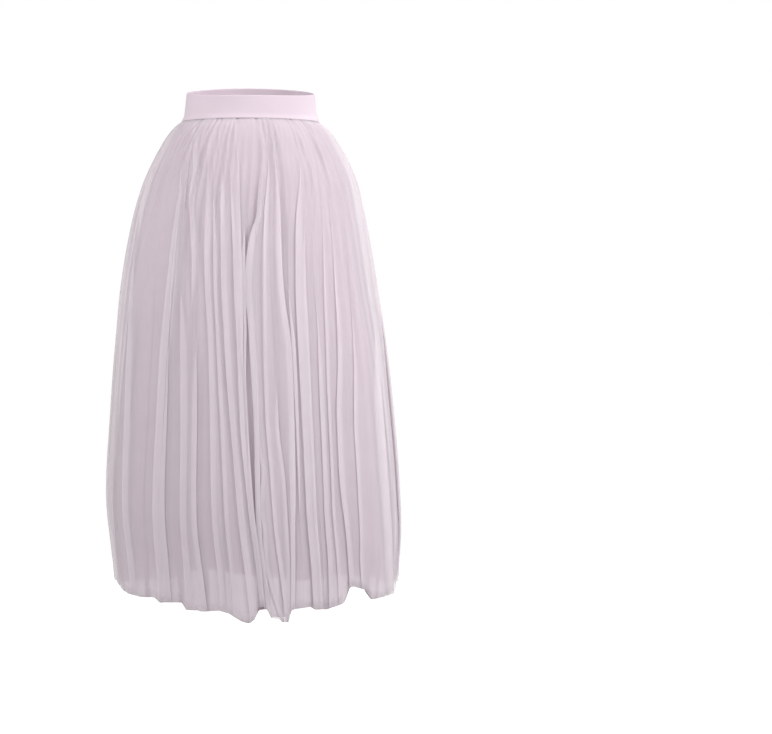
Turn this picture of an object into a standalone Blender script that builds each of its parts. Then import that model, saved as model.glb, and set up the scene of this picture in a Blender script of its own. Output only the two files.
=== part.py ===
"""Tulle skirt, filled out as it is worn: a waistband ring, two gathered tulle layers and a lining.

Units are metres and +Z is up. The front faces -Y. The origin is the middle of the waist opening, at the height
where the front of the waistband has its middle. Each cloth piece is a thin wall: an open surface, lofted through
rings worked out from the sizes below, with a Solidify modifier that thickens it inwards.
Angles run round the body in degrees: 0 at the centre front, 90 at the wearer's left side (+X), 180 at the centre back.
"""

import math

import bpy

# Walls and gaps
BAND_WALL = 0.002
CLOTH_WALL = 0.0012
SEAM_GAP = 0.0003
SIDE_SEAM_HALF_GAP = 0.00026

# Waistband: height above and below the origin at the centre front, and how far its edges rise towards the back
BAND_HALF_HEIGHT = 0.021
BAND_TOP_RISE = 0.031
BAND_TOP_RISE_POWER = 1.37
SEAM_RISE = 0.023
SEAM_RISE_POWER = 3.5
BAND_STEPS_ROUND = 56
# Share of the band's height from the top, half width, half depth: the lowest strip flares over the gathers
BAND_SECTIONS = ((0.0, 0.1190, 0.0885), (0.45, 0.1220, 0.0910), (0.78, 0.1240, 0.0930), (1.0, 0.1285, 0.0965))

# Skirt: length from the waist seam to the hem, and its bell outline
SKIRT_LENGTH = 0.885
# Share of the length below the seam, half width, half depth
BELL_SECTIONS = (
    (0.000, 0.1282, 0.0962),
    (0.015, 0.1430, 0.1100),
    (0.047, 0.1640, 0.1250),
    (0.144, 0.2036, 0.1500),
    (0.337, 0.2375, 0.1790),
    (0.594, 0.2630, 0.2040),
    (0.840, 0.2750, 0.2200),
    (1.000, 0.2660, 0.2200),
)
ROW_SHARES = (0.0, 0.015, 0.047, 0.12, 0.25, 0.42, 0.62, 0.82, 1.0)
HEM_WAVE_START = 0.30

# Layers: how far each stands inside the bell, at the seam and below FULL_SPREAD of the length
FULL_SPREAD = 0.36
UNDER_INSET = (0.0026, 0.0185)
LINING_INSET = (0.0052, 0.0340)
LINING_LENGTH_SHARE = 0.93

# Valleys between the front pleats of the outer tulle: angle at the seam, at the hip, at the knee and at the hem,
# and the depth at the hem in metres
VALLEY_STATIONS = (0.0, 0.30, 0.60, 1.0)
FRONT_VALLEYS = (
    (-74.0, -80.0, -76.0, -76.0, 0.008),
    (-57.0, -70.0, -62.0, -62.0, 0.010),
    (-48.0, -46.0, -43.0, -43.0, 0.014),
    (-41.0, -36.0, -31.0, -29.5, 0.008),
    (-34.0, -26.0, -20.0, -18.0, 0.009),
    (-25.0, -19.0, -14.5, -12.5, 0.006),
    (-16.0, -13.0, -10.0, -8.0, 0.006),
    (-6.0, -6.5, -4.5, -3.0, 0.006),
    (2.0, -0.5, 0.5, 2.5, 0.013),
    (10.0, 6.5, 6.5, 8.5, 0.006),
    (19.0, 15.0, 14.0, 15.5, 0.013),
    (30.0, 24.0, 22.0, 23.5, 0.006),
    (43.0, 34.0, 29.5, 30.0, 0.007),
    (52.0, 43.0, 36.0, 37.5, 0.011),
    (62.0, 54.0, 46.0, 50.0, 0.007),
    (75.0, 68.0, 67.0, 72.0, 0.012),
)
# Front hems of the tulle layers: angle, and how far each hangs below (+) or above (-) the skirt's length
FRONT_HEM = (
    (-90.0, -0.037), (-78.0, -0.033), (-70.0, -0.028), (-62.0, -0.018), (-52.0, -0.016), (-43.0, -0.016),
    (-40.0, -0.009), (-29.5, -0.013), (-28.0, 0.000), (-22.0, 0.002), (-13.0, -0.001), (-8.0, -0.009), (0.0, -0.012),
    (4.0, -0.004), (7.5, 0.012), (10.5, 0.016), (12.5, 0.023), (14.5, 0.000), (19.0, -0.004), (23.0, 0.001),
    (29.0, 0.001), (35.8, -0.008), (39.5, -0.037), (46.0, -0.030), (51.5, -0.009), (65.0, -0.009), (81.0, -0.018),
    (90.0, -0.037),
)
UNDER_FRONT_HEM = (
    (-90.0, -0.040), (-74.0, -0.034), (-52.0, -0.026), (-40.0, -0.020), (-25.0, -0.012), (-12.0, -0.004),
    (-6.0, 0.014), (-1.5, 0.021), (2.0, 0.012), (5.0, -0.004), (12.0, -0.008), (19.0, -0.008), (30.0, -0.012),
    (38.0, -0.040), (46.0, -0.038), (60.0, -0.020), (78.0, -0.028), (90.0, -0.040),
)
# Back hem of the outer tulle; the inner layer's back hem follows it less closely and stands a little higher
BACK_HEM = (
    (90.0, -0.037), (104.0, -0.014), (118.0, -0.006), (131.0, -0.013), (146.0, 0.003), (162.0, -0.004),
    (174.0, 0.008), (188.0, 0.002), (203.0, -0.008), (219.0, 0.004), (234.0, -0.006), (250.0, -0.013), (270.0, -0.037),
)
UNDER_HEM_FOLLOW = 0.4
UNDER_HEM_RISE = 0.010

COLOURS = {
    "waistband": (0.807, 0.686, 0.768),
    "outer_tulle": (0.597, 0.521, 0.584),
    "under_tulle": (0.558, 0.462, 0.539),
    "lining": (0.610, 0.482, 0.558),
}


def clear_scene():
    """Remove the objects that the scene starts with."""
    for thing in list(bpy.data.objects):
        bpy.data.objects.remove(thing, do_unlink=True)


def ease(value):
    """Go smoothly from 0 to 1 as value does."""
    value = min(max(value, 0.0), 1.0)
    return value * value * (3.0 - 2.0 * value)


def read_smooth(stations, at, column):
    """Read one column of a table of stations at a place between them, on a smooth curve with no overshoot."""
    count = len(stations)
    steps = [stations[i + 1][0] - stations[i][0] for i in range(count - 1)]
    slopes = [(stations[i + 1][column] - stations[i][column]) / steps[i] for i in range(count - 1)]
    tangents = [slopes[0]]
    for before, after in zip(slopes, slopes[1:]):
        tangents.append(0.0 if before * after <= 0.0 else 2.0 * before * after / (before + after))
    tangents.append(slopes[-1])
    at = min(max(at, stations[0][0]), stations[-1][0])
    i = max(k for k in range(count - 1) if stations[k][0] <= at)
    t = (at - stations[i][0]) / steps[i]
    start, end = stations[i][column], stations[i + 1][column]
    return (start * (1.0 + 2.0 * t) * (1.0 - t) ** 2 + end * t * t * (3.0 - 2.0 * t)
            + steps[i] * t * (1.0 - t) * (tangents[i] * (1.0 - t) - tangents[i + 1] * t))


def read_straight(stations, at):
    """Read a two-column table on straight lines between its points."""
    for (here, value), (there, next_value) in zip(stations, stations[1:]):
        if at <= there:
            share = max(at - here, 0.0) / (there - here)
            return value + share * (next_value - value)
    return stations[-1][1]


def rise_share(angle, power):
    """How much of the rise towards the back an edge has at an angle: none at the front, all of it at the back."""
    return ((1.0 - math.cos(math.radians(angle))) / 2.0) ** power


def seam_height(angle):
    """Height of the waist seam at an angle round the body."""
    return -BAND_HALF_HEIGHT + SEAM_RISE * rise_share(angle, SEAM_RISE_POWER)


def band_top_height(angle):
    """Height of the waistband's top edge at an angle round the body."""
    return BAND_HALF_HEIGHT + BAND_TOP_RISE * rise_share(angle, BAND_TOP_RISE_POWER)


def ring_point(angle, half_width, half_depth, height):
    """A point of an elliptical ring."""
    turn = math.radians(angle)
    return (half_width * math.sin(turn), -half_depth * math.cos(turn), height)


def back_valleys(count, depth):
    """Valleys of a back panel: evenly spread and then moved a little, as hand-gathered cloth falls."""
    valleys = []
    for i in range(count):
        middle = 90.0 + 180.0 * (i + 0.7) / (count + 0.4)
        sway = 2.6 * math.sin(2.4 * i + 0.7)
        lean = 2.2 * math.cos(1.7 * i)
        deep = depth * (0.75 + 0.25 * math.sin(3.1 * i + 1.0))
        valleys.append((middle - 0.4 * lean, middle + sway, middle + sway + lean, middle + sway + 1.4 * lean, deep))
    return valleys


def front_valleys(count, depth):
    """Valleys of an inner front panel: the back's rule, turned half way round."""
    return [tuple(angle - 180.0 for angle in valley[:4]) + (valley[4],) for valley in back_valleys(count, depth)]


def valley_angle(valley, share):
    """Angle of a valley at a share of the length."""
    stations = tuple(zip(VALLEY_STATIONS, valley[:4]))
    return read_smooth(stations, share, 1)


def fold_columns(valleys, side_angle, share):
    """Angle and inward depth of every column at a share of the length: four for each pleat, valley to valley."""
    columns = [(side_angle, 0.0)]
    first = valley_angle(valleys[0], share)
    columns.append((side_angle + 0.45 * (first - side_angle), 0.0))
    columns.append((side_angle + 0.80 * (first - side_angle), 0.22 * valleys[0][4]))
    for valley, following in zip(valleys, valleys[1:]):
        here, there = valley_angle(valley, share), valley_angle(following, share)
        span = there - here
        columns.append((here, valley[4]))
        columns.append((here + 0.22 * span, 0.22 * valley[4]))
        columns.append((here + 0.50 * span, 0.0))
        columns.append((here + 0.78 * span, 0.22 * following[4]))
    last = valley_angle(valleys[-1], share)
    far_side = side_angle + 180.0
    columns.append((last, valleys[-1][4]))
    columns.append((last + 0.20 * (far_side - last), 0.22 * valleys[-1][4]))
    columns.append((last + 0.55 * (far_side - last), 0.0))
    columns.append((far_side, 0.0))
    return columns


def panel_rows(side_angle, valleys, inset, length_share, hem):
    """Rings of points of one cloth panel, from the waist seam down to the hem."""
    shares = [share for share in ROW_SHARES if share < length_share] + [length_share]
    rows = []
    for share in shares:
        spread = ease(share / FULL_SPREAD)
        step_in = inset[0] + (inset[1] - inset[0]) * spread
        half_width = read_smooth(BELL_SECTIONS, share, 1) - step_in
        half_depth = read_smooth(BELL_SECTIONS, share, 2) - step_in
        wave = ease((share - HEM_WAVE_START) / (length_share - HEM_WAVE_START))
        columns = fold_columns(valleys, side_angle, share)
        row = []
        for place, (angle, depth) in enumerate(columns):
            inward = depth * spread
            drop = share * SKIRT_LENGTH + wave * read_straight(hem, angle)
            height = seam_height(angle) - SEAM_GAP - drop
            x, y, z = ring_point(angle, half_width - inward, half_depth - inward, height)
            if place in (0, len(columns) - 1):
                y = -SIDE_SEAM_HALF_GAP if side_angle < 0.0 else SIDE_SEAM_HALF_GAP
            row.append((x, y, z))
        rows.append(row)
    return rows


def loft(name, rows, closed):
    """Make an open mesh through rows of points that run round the body, top row first, facing outwards."""
    width = len(rows[0])
    spans = width if closed else width - 1
    points = [point for row in rows for point in row]
    faces = []
    for down in range(len(rows) - 1):
        for along in range(spans):
            here = down * width + along
            beside = down * width + (along + 1) % width
            faces.append((here, here + width, beside + width, beside))
    mesh = bpy.data.meshes.new(name)
    mesh.from_pydata(points, [], faces)
    mesh.update()
    return mesh


def cloth_material(name, colour):
    """A plain matte cloth finish."""
    material = bpy.data.materials.new(name)
    material.use_nodes = True
    shader = material.node_tree.nodes["Principled BSDF"]
    shader.inputs["Base Color"].default_value = (*colour, 1.0)
    shader.inputs["Roughness"].default_value = 0.85
    shader.inputs["Metallic"].default_value = 0.0
    return material


def add_piece(name, rows, closed, wall, material_name, collection):
    """Loft a piece, thicken it inwards and put it in the collection."""
    piece = bpy.data.objects.new(name, loft(name, rows, closed))
    piece.data.materials.append(cloth_material(name + "_cloth", COLOURS[material_name]))
    piece.data.shade_smooth()
    solidify = piece.modifiers.new("Wall", "SOLIDIFY")
    solidify.thickness = wall
    solidify.offset = -1.0
    solidify.use_rim = True
    solidify.use_even_offset = False
    collection.objects.link(piece)
    return piece


def make_waistband(collection):
    """The waistband: a closed strip with a slight waist and a flared lowest edge."""
    angles = [360.0 * i / BAND_STEPS_ROUND for i in range(BAND_STEPS_ROUND)]
    rows = []
    for share, half_width, half_depth in BAND_SECTIONS:
        heights = [band_top_height(a) + share * (seam_height(a) - band_top_height(a)) for a in angles]
        rows.append([ring_point(a, half_width, half_depth, z) for a, z in zip(angles, heights)])
    add_piece("waistband", rows, True, BAND_WALL, "waistband", collection)


def make_layers(collection):
    """The two tulle layers and the lining, each a front and a back panel joined at the side seams."""
    under_back_hem = tuple((angle, UNDER_HEM_FOLLOW * extra - UNDER_HEM_RISE) for angle, extra in BACK_HEM)
    level_hem = ((-90.0, 0.0), (270.0, 0.0))
    panels = (
        ("outer_tulle_front", -90.0, FRONT_VALLEYS, (0.0, 0.0), 1.0, FRONT_HEM, "outer_tulle"),
        ("outer_tulle_back", 90.0, back_valleys(13, 0.013), (0.0, 0.0), 1.0, BACK_HEM, "outer_tulle"),
        ("under_tulle_front", -90.0, front_valleys(9, 0.008), UNDER_INSET, 1.0, UNDER_FRONT_HEM, "under_tulle"),
        ("under_tulle_back", 90.0, back_valleys(9, 0.008), UNDER_INSET, 1.0, under_back_hem, "under_tulle"),
        ("lining_front", -90.0, front_valleys(5, 0.007), LINING_INSET, LINING_LENGTH_SHARE, level_hem, "lining"),
        ("lining_back", 90.0, back_valleys(5, 0.007), LINING_INSET, LINING_LENGTH_SHARE, level_hem, "lining"),
    )
    for name, side_angle, valleys, inset, length_share, hem, material_name in panels:
        rows = panel_rows(side_angle, valleys, inset, length_share, hem)
        add_piece(name, rows, False, CLOTH_WALL, material_name, collection)


def main():
    """Build the skirt in its own collection."""
    clear_scene()
    skirt = bpy.data.collections.new("tulle_skirt")
    bpy.context.scene.collection.children.link(skirt)
    make_waistband(skirt)
    make_layers(skirt)


main()
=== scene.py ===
"""Looks of a long gathered tulle skirt in its worn, hollow shape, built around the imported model.

Everything is in metres in the model's own frame: +Z is up, the front faces -Y and the origin is the centre of
the waist opening. Angles run round the body in degrees: 0 at the centre front, 90 at the wearer's left side
(+X), 180 at the centre back. A share of the length is 0 at the waist seam and 1 at the hem.
"""

from __future__ import annotations

import logging
import math
from dataclasses import dataclass, field
from enum import Enum

import bpy
import numpy as np
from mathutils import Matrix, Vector


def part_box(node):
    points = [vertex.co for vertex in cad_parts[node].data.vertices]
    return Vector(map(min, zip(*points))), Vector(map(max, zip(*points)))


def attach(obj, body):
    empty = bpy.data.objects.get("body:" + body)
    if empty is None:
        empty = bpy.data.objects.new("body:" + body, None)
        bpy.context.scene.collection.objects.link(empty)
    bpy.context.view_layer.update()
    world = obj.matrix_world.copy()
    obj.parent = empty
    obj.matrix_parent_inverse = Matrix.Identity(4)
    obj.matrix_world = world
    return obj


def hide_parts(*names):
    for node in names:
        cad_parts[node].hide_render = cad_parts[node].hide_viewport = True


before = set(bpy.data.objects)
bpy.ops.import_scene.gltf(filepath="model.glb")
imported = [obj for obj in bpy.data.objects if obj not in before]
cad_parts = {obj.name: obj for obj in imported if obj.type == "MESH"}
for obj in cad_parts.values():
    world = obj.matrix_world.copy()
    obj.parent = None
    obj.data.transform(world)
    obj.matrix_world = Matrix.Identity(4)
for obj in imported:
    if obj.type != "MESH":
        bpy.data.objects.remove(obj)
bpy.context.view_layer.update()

LOG = logging.getLogger("tulle_skirt")
BODY = "root"
MILLIMETRE = 0.001
# Half of the gap between a front and a back width at their side seams
SIDE_SEAM_GAP = 0.15 * MILLIMETRE

Stations = tuple[tuple[float, float], ...]


# --------------------------------------------------------------------------- small helpers


def ease(value: np.ndarray | float) -> np.ndarray | float:
    """Go smoothly from 0 to 1 as a value does.

    Args:
        value: Any number or array; it is clipped to 0..1 first.

    Returns:
        The eased number or array.
    """
    clipped = np.clip(value, 0.0, 1.0)
    return clipped * clipped * (3.0 - 2.0 * clipped)


def backness(angle: np.ndarray) -> np.ndarray:
    """How far round to the back an angle is: 0 at the centre front, 1 at the centre back."""
    return (1.0 - np.cos(np.radians(angle))) / 2.0


def smooth_curve(stations: Stations, at: np.ndarray | float) -> np.ndarray:
    """Read a curve through stations, with no overshoot between them.

    Args:
        stations: Pairs of a place and its value, places rising.
        at: The places to read.

    Returns:
        The values there, held at the ends.
    """
    places = np.array([station[0] for station in stations])
    values = np.array([station[1] for station in stations])
    steps = np.diff(places)
    slopes = np.diff(values) / steps
    before, after = slopes[:-1], slopes[1:]
    product = before * after
    total = np.where(product > 0.0, before + after, 1.0)
    inner = np.where(product > 0.0, 2.0 * product / total, 0.0)
    tangents = np.concatenate(([slopes[0]], inner, [slopes[-1]]))
    read = np.clip(np.asarray(at, dtype=float), places[0], places[-1])
    index = np.clip(np.searchsorted(places, read, side="right") - 1, 0, len(steps) - 1)
    t = (read - places[index]) / steps[index]
    hermite = values[index] * (1.0 + 2.0 * t) * (1.0 - t) ** 2 + values[index + 1] * t * t * (3.0 - 2.0 * t)
    return hermite + steps[index] * t * (1.0 - t) * (tangents[index] * (1.0 - t) - tangents[index + 1] * t)


def linear_colour(hex_colour: str) -> tuple[float, float, float, float]:
    """Turn an sRGB hex colour into the linear one that shaders take.

    Args:
        hex_colour: Six hex digits after a #.

    Returns:
        Red, green, blue and an alpha of 1.
    """
    channels = [int(hex_colour[i:i + 2], 16) / 255.0 for i in (1, 3, 5)]
    linear = [c / 12.92 if c <= 0.04045 else ((c + 0.055) / 1.055) ** 2.4 for c in channels]
    return (linear[0], linear[1], linear[2], 1.0)


def add_node(tree: bpy.types.NodeTree, kind: str, settings: dict | None = None,
             links: dict | None = None) -> bpy.types.Node:
    """Add a node with its settings and the links into it.

    Args:
        tree: The node tree.
        kind: The node's type name.
        settings: Attribute names, or input names or numbers, and their values.
        links: Input names or numbers, and the output sockets that feed them.

    Returns:
        The new node.
    """
    node = tree.nodes.new(kind)
    for name, value in (settings or {}).items():
        if isinstance(name, str) and hasattr(node, name):
            setattr(node, name, value)
        else:
            node.inputs[name].default_value = value
    for name, socket in (links or {}).items():
        tree.links.new(socket, node.inputs[name])
    return node


def mesh_from_grid(name: str, points: np.ndarray, cloth: np.ndarray, closed: bool = False) -> bpy.types.Mesh:
    """Make an outward-facing mesh from rows of points that run round the body, top row first.

    Args:
        name: The mesh's name.
        points: Rows by columns by 3 places.
        cloth: Rows by columns by 2 places on the flat cloth, in metres.
        closed: Whether the last column joins the first.

    Returns:
        The mesh, with its flat cloth places as a UV map.
    """
    rows, columns = points.shape[:2]
    spans = columns if closed else columns - 1
    down, along = np.meshgrid(np.arange(rows - 1), np.arange(spans), indexing="ij")
    here = down * columns + along
    beside = down * columns + (along + 1) % columns
    faces = np.stack((here, here + columns, beside + columns, beside), axis=-1).reshape(-1, 4)
    mesh = bpy.data.meshes.new(name)
    mesh.from_pydata(points.reshape(-1, 3).tolist(), [], faces.tolist())
    mesh.update()
    corners = cloth.reshape(-1, 2)[faces.reshape(-1)]
    mesh.uv_layers.new(name="Cloth").data.foreach_set("uv", corners.astype(np.float32).reshape(-1))
    mesh.shade_smooth()
    return mesh


def add_object(name: str, mesh: bpy.types.Mesh, material: bpy.types.Material) -> bpy.types.Object:
    """Put a mesh in the scene at the origin with one material.

    Args:
        name: The piece's name.
        mesh: Its mesh.
        material: Its finish.

    Returns:
        The new object.
    """
    piece = bpy.data.objects.new(name, mesh)
    piece.data.materials.clear()
    piece.data.materials.append(material)
    bpy.context.scene.collection.objects.link(piece)
    return piece


def thicken(piece: bpy.types.Object, wall: float) -> None:
    """Turn an open cloth surface into a closed wall, thickened inwards.

    Args:
        piece: The open surface.
        wall: The wall's thickness.
    """
    solidify = piece.modifiers.new("Wall", "SOLIDIFY")
    solidify.thickness = wall
    solidify.offset = -1.0
    solidify.use_rim = True
    solidify.use_even_offset = False


def hang_width(name: str, points: np.ndarray, drops: np.ndarray, widest: float, wall: float,
               finish: bpy.types.Material) -> bpy.types.Object:
    """Make one width of cloth, from side seam to side seam, as a thin closed wall.

    Args:
        name: The piece's name.
        points: Rows by columns of points on its outer face, top row first.
        drops: How far below the waist seam each row lies on the flat cloth.
        widest: Share of the rows above the one whose length gives the cloth's width.
        wall: The wall's thickness.
        finish: Its material.

    Returns:
        The finished piece.
    """
    facing = math.copysign(1.0, points[-1, points.shape[1] // 2, 1])
    points[:, 0, 1] = points[:, -1, 1] = facing * SIDE_SEAM_GAP
    steps = np.diff(points[int(widest * len(points))], axis=0)
    along = np.concatenate(([0.0], np.cumsum(np.linalg.norm(steps, axis=1))))
    cloth = np.stack(np.broadcast_arrays(along[None, :], -drops[:, None]), axis=-1)
    piece = add_object(name, mesh_from_grid(name, points, cloth), finish)
    thicken(piece, wall)
    LOG.info("%s: %.2f m round its widest row", name, along[-1])
    return piece


# --------------------------------------------------------------------------- finishes


@dataclass(frozen=True)
class ClothFinish:
    """A cloth with two shades and a pattern of waves that follows the cloth's own flat places."""

    name: str
    light: str
    dark: str

    def start(self) -> tuple[bpy.types.Material, bpy.types.NodeTree, bpy.types.Node]:
        """Make the material, its tree and the node that reads the cloth's flat places."""
        material = bpy.data.materials.new(self.name)
        material.use_nodes = True
        tree = material.node_tree
        return material, tree, add_node(tree, "ShaderNodeUVMap", {"uv_map": "Cloth"})

    def waves(self, tree: bpy.types.NodeTree, flat: bpy.types.Node, shape: str, pitch: float,
              directions: tuple[tuple[float, float], ...]) -> list[bpy.types.NodeSocket]:
        """Lay waves over the flat cloth.

        Args:
            tree: The material's tree.
            flat: The node that reads the flat places.
            shape: SINE or COSINE.
            pitch: Length of a wave in metres, for a direction of length 1.
            directions: Where each wave runs on the flat cloth.

        Returns:
            One output socket for each direction.
        """
        rate = 2.0 * math.pi / pitch
        made = []
        for x, y in directions:
            run = {"operation": "DOT_PRODUCT", 1: (rate * x, rate * y, 0.0)}
            across = add_node(tree, "ShaderNodeVectorMath", run, {0: flat.outputs[0]})
            wave = add_node(tree, "ShaderNodeMath", {"operation": shape}, {0: across.outputs["Value"]})
            made.append(wave.outputs[0])
        return made

    def dress(self, tree: bpy.types.NodeTree, flat: bpy.types.Node, pattern: bpy.types.NodeSocket,
              weight: float, cloud: tuple[float, float, float, float], relief: tuple[float, float],
              values: dict[str, float]) -> None:
        """Mix the two shades by the pattern and a cloudiness, add the relief and set the shader's values.

        Args:
            tree: The material's tree.
            flat: The node that reads the flat places.
            pattern: The pattern's height.
            weight: How much of the shade the pattern gives.
            cloud: Scale, detail, gain and base of the cloudiness.
            relief: How strong the pattern's relief looks, and how deep it is in metres.
            values: The shader's inputs that hold one value, and the values.
        """
        shader = tree.nodes["Principled BSDF"]
        scale, detail, gain, base = cloud
        noise = add_node(tree, "ShaderNodeTexNoise", {"Scale": scale, "Detail": detail},
                         {"Vector": flat.outputs[0]})
        soft = add_node(tree, "ShaderNodeMath", {"operation": "MULTIPLY_ADD", 1: gain, 2: base},
                        {0: noise.outputs[0]})
        shade = add_node(tree, "ShaderNodeMath", {"operation": "MULTIPLY_ADD", 1: weight},
                         {0: pattern, 2: soft.outputs[0]})
        shades = {"data_type": "RGBA", "clamp_factor": True,
                  6: linear_colour(self.dark), 7: linear_colour(self.light)}
        colour = add_node(tree, "ShaderNodeMix", shades, {0: shade.outputs[0]})
        bump = add_node(tree, "ShaderNodeBump", {"Strength": relief[0], "Distance": relief[1]},
                        {"Height": pattern})
        tree.links.new(colour.outputs[2], shader.inputs["Base Color"])
        tree.links.new(bump.outputs[0], shader.inputs["Normal"])
        for name, value in values.items():
            shader.inputs[name].default_value = value


@dataclass(frozen=True)
class NetTulle(ClothFinish):
    """Soft nylon tulle: a very fine hexagonal net, matte and see-through, paler where it turns away.

    The light shade is its threads and the dark one their hollows. cover is how much of the view its threads
    fill.
    """

    cover: float
    cell: float = 2.4 * MILLIMETRE

    def material(self) -> bpy.types.Material:
        """Build the net: three crossed waves make its hexagons.

        The real cells are about 1 mm wide and too fine to show, so they are drawn 2.4 mm wide.
        """
        material, tree, flat = self.start()
        turns = [math.radians(turn) for turn in (0.0, 60.0, 120.0)]
        first, second, third = self.waves(tree, flat, "COSINE", self.cell,
                                          tuple((math.cos(turn), math.sin(turn)) for turn in turns))
        pair = add_node(tree, "ShaderNodeMath", {"operation": "ADD"}, {0: first, 1: second})
        total = add_node(tree, "ShaderNodeMath", {"operation": "ADD"}, {0: pair.outputs[0], 1: third})
        threads = add_node(tree, "ShaderNodeMapRange", {"From Min": 1.2, "From Max": -1.2},
                           {"Value": total.outputs[0]})
        self.dress(tree, flat, threads.outputs[0], 0.42, (26.0, 3.0, 0.55, 0.2), (0.25, 0.20 * MILLIMETRE),
                   {"Roughness": 0.75, "Specular IOR Level": 0.2, "Sheen Weight": 0.8,
                    "Sheen Roughness": 0.45, "Alpha": self.cover})
        return material


@dataclass(frozen=True)
class WovenLining(ClothFinish):
    """Plain-woven polyester lining: opaque, with a soft low gloss from its smooth filament threads."""

    thread_pitch: float = 1.6 * MILLIMETRE

    def material(self) -> bpy.types.Material:
        """Build the weave: two waves crossed at right angles.

        The real threads are 0.15 mm apart and too fine to show, so they are drawn 1.6 mm apart.
        """
        material, tree, flat = self.start()
        warp, weft = self.waves(tree, flat, "SINE", self.thread_pitch, ((1.0, 0.0), (0.0, 1.0)))
        weave = add_node(tree, "ShaderNodeMath", {"operation": "MULTIPLY"}, {0: warp, 1: weft})
        self.dress(tree, flat, weave.outputs[0], 0.12, (9.0, 4.0, 1.0, 0.0), (0.3, 0.15 * MILLIMETRE),
                   {"Roughness": 0.55, "Sheen Weight": 0.15})
        return material


@dataclass(frozen=True)
class StretchJersey(ClothFinish):
    """Doubled stretch jersey of the waistband: smooth and matte, with very fine upright ribs of knit."""

    rib_pitch: float = 1.5 * MILLIMETRE

    def material(self) -> bpy.types.Material:
        """Build the knit: fine upright ribs broken into stitches by two slanting waves.

        The real ribs are 0.7 mm apart and too fine to show, so they are drawn 1.5 mm apart.
        """
        material, tree, flat = self.start()
        left, right = self.waves(tree, flat, "SINE", self.rib_pitch, ((1.0, 0.35), (1.0, -0.35)))
        knit = add_node(tree, "ShaderNodeMath", {"operation": "MAXIMUM"}, {0: left, 1: right})
        self.dress(tree, flat, knit.outputs[0], 0.1, (14.0, 3.0, 1.0, 0.0), (0.25, 0.10 * MILLIMETRE),
                   {"Roughness": 0.8, "Specular IOR Level": 0.25, "Sheen Weight": 0.25})
        return material


@dataclass(frozen=True)
class PlainFinish:
    """A plain finish for what needs no pattern: sewing thread, or the studio's paper floor."""

    name: str
    colour: str
    roughness: float

    def material(self) -> bpy.types.Material:
        """Build the material."""
        material = bpy.data.materials.new(self.name)
        material.use_nodes = True
        tree = material.node_tree
        shader = tree.nodes["Principled BSDF"]
        shader.inputs["Base Color"].default_value = linear_colour(self.colour)
        shader.inputs["Roughness"].default_value = self.roughness
        shader.inputs["Specular IOR Level"].default_value = 0.2
        return material


# --------------------------------------------------------------------------- the form that the cloth hangs on


@dataclass(frozen=True)
class BellForm:
    """The skirt's outline: an ellipse at every height, from the waist seam to the hem.

    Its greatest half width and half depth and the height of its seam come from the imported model.
    """

    half_width: float
    half_depth: float
    seam_front: float
    length: float = 0.885
    seam_rise: float = 0.023
    seam_rise_power: float = 3.5
    # Shares of the greatest half width and half depth, down the length
    widths: Stations = ((0.0, 0.466), (0.015, 0.520), (0.047, 0.596), (0.144, 0.740), (0.337, 0.864),
                        (0.594, 0.956), (0.840, 1.0), (1.0, 0.967))
    depths: Stations = ((0.0, 0.437), (0.015, 0.500), (0.047, 0.568), (0.144, 0.682), (0.337, 0.814),
                        (0.594, 0.927), (0.840, 1.0), (1.0, 1.0))
    # How far the cloth hangs to the wearer's left, as the hem swings
    sway: Stations = ((0.0, 0.0), (0.10, 0.0), (0.20, -0.0025), (0.34, -0.003), (0.46, 0.0), (0.62, 0.0025),
                      (0.80, 0.004), (0.92, 0.009), (1.0, 0.0105))

    @classmethod
    def from_frame(cls) -> "BellForm":
        """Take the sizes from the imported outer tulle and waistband."""
        low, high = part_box("outer_tulle_front")
        band_low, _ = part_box("waistband")
        return cls(half_width=high[0], half_depth=-low[1], seam_front=band_low[2])

    def size_at(self, share: np.ndarray) -> tuple[np.ndarray, np.ndarray]:
        """Half width and half depth of the bell at a share of its length."""
        width = self.half_width * smooth_curve(self.widths, share)
        return width, self.half_depth * smooth_curve(self.depths, share)

    def seam_height(self, angle: np.ndarray) -> np.ndarray:
        """Height of the waist seam: level in front, higher towards the back."""
        return self.seam_front + self.seam_rise * backness(angle) ** self.seam_rise_power

    def metres_per_degree(self, share: float, angle: np.ndarray | float) -> np.ndarray | float:
        """Length of cloth that one degree spans at a place on the bell."""
        width, depth = self.size_at(np.array(share))
        turn = np.radians(angle)
        return np.sqrt((width * np.cos(turn)) ** 2 + (depth * np.sin(turn)) ** 2) * math.pi / 180.0

    def place(self, share: np.ndarray, angle: np.ndarray, outward: np.ndarray,
              extra_drop: np.ndarray) -> np.ndarray:
        """Turn places on the bell into points.

        Args:
            share: Share of the length of each point.
            angle: Angle round the body of each point.
            outward: How far each point stands out from the bell.
            extra_drop: How much lower each point hangs than its share says.

        Returns:
            The points, in an array with one more axis than the arguments.
        """
        width, depth = self.size_at(share)
        turn = np.radians(angle)
        across, forward = np.sin(turn), np.cos(turn)
        normal_x, normal_y = across / width, -forward / depth
        long = np.hypot(normal_x, normal_y)
        x = width * across + outward * normal_x / long + smooth_curve(self.sway, share)
        y = -depth * forward + outward * normal_y / long
        z = self.seam_height(angle) - share * self.length - extra_drop
        return np.stack(np.broadcast_arrays(x, y, z), axis=-1)


# --------------------------------------------------------------------------- pleats


class Lean(Enum):
    """Which way a pleat's free edge points, as seen from outside with the waist up."""

    LEFT = 1
    RIGHT = -1


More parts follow.
